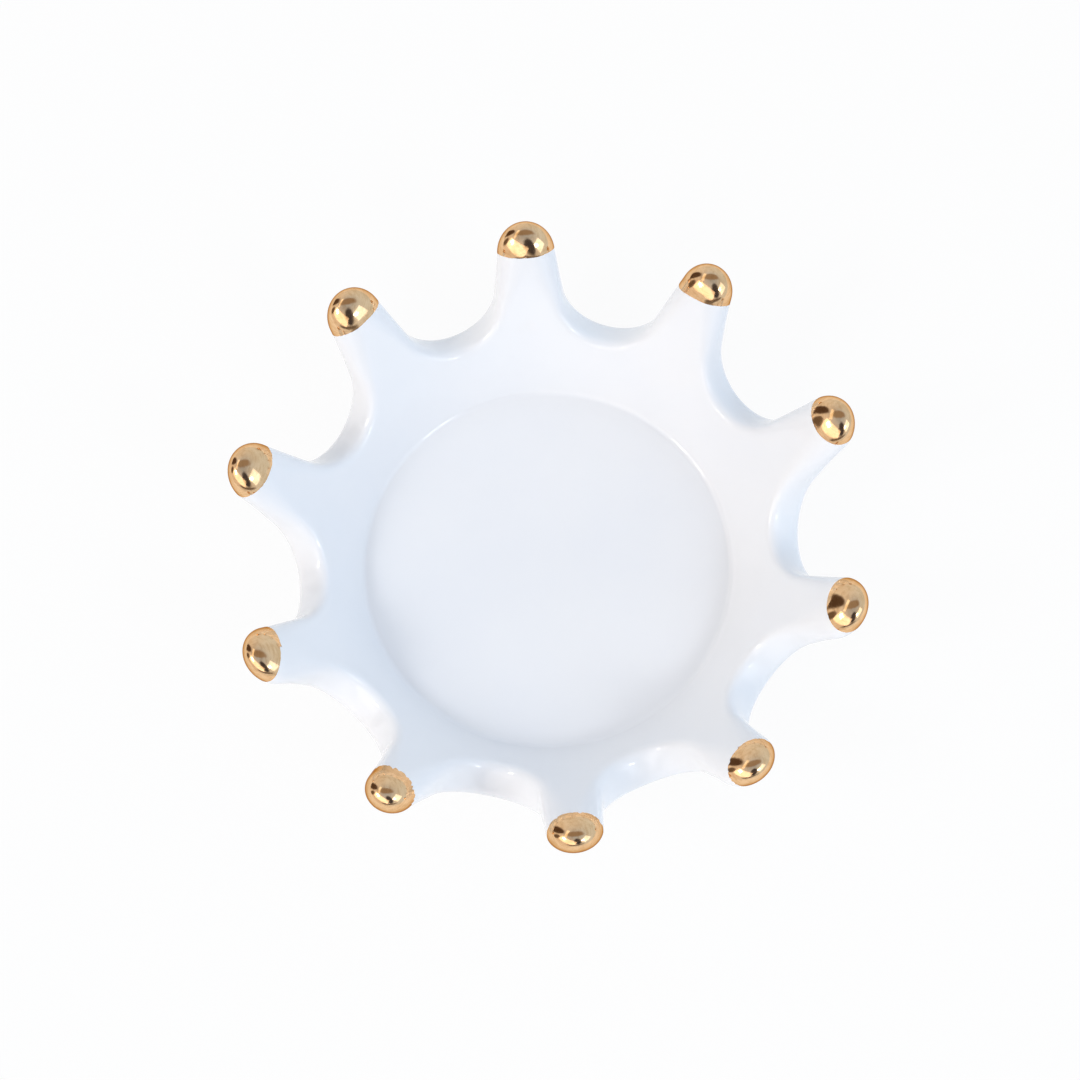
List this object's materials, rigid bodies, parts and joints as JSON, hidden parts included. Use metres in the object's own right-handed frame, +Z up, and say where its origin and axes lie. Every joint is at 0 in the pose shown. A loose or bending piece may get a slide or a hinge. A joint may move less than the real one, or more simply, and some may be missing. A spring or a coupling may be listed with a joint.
{
  "type": "ring dish",
  "caption": "Small round ring dish: a flat floor and a flaring wall notched into rounded fingers with gold ends, for rings and small jewellery on a table.",
  "frame": {"origin": "the middle of the dish's floor, at the table surface under the foot ring", "axes": "+Z up, +Y towards the back as the picture shows it, +X towards its right"},
  "size_m": [0.1129, 0.1174, 0.0317],
  "materials": {
    "white_glaze": "glossy white glaze",
    "bare_clay": "matt unglazed clay",
    "gold_lustre": "polished gold lustre"
  },
  "bodies": {
    "root": {"dish_body": "white_glaze", "foot_ring": "bare_clay", "gold_tip_01": "gold_lustre", "gold_tip_02": "gold_lustre", "gold_tip_03": "gold_lustre", "gold_tip_04": "gold_lustre", "gold_tip_05": "gold_lustre", "gold_tip_06": "gold_lustre", "gold_tip_07": "gold_lustre", "gold_tip_08": "gold_lustre", "gold_tip_09": "gold_lustre", "gold_tip_10": "gold_lustre"}
  },
  "joints": []
}
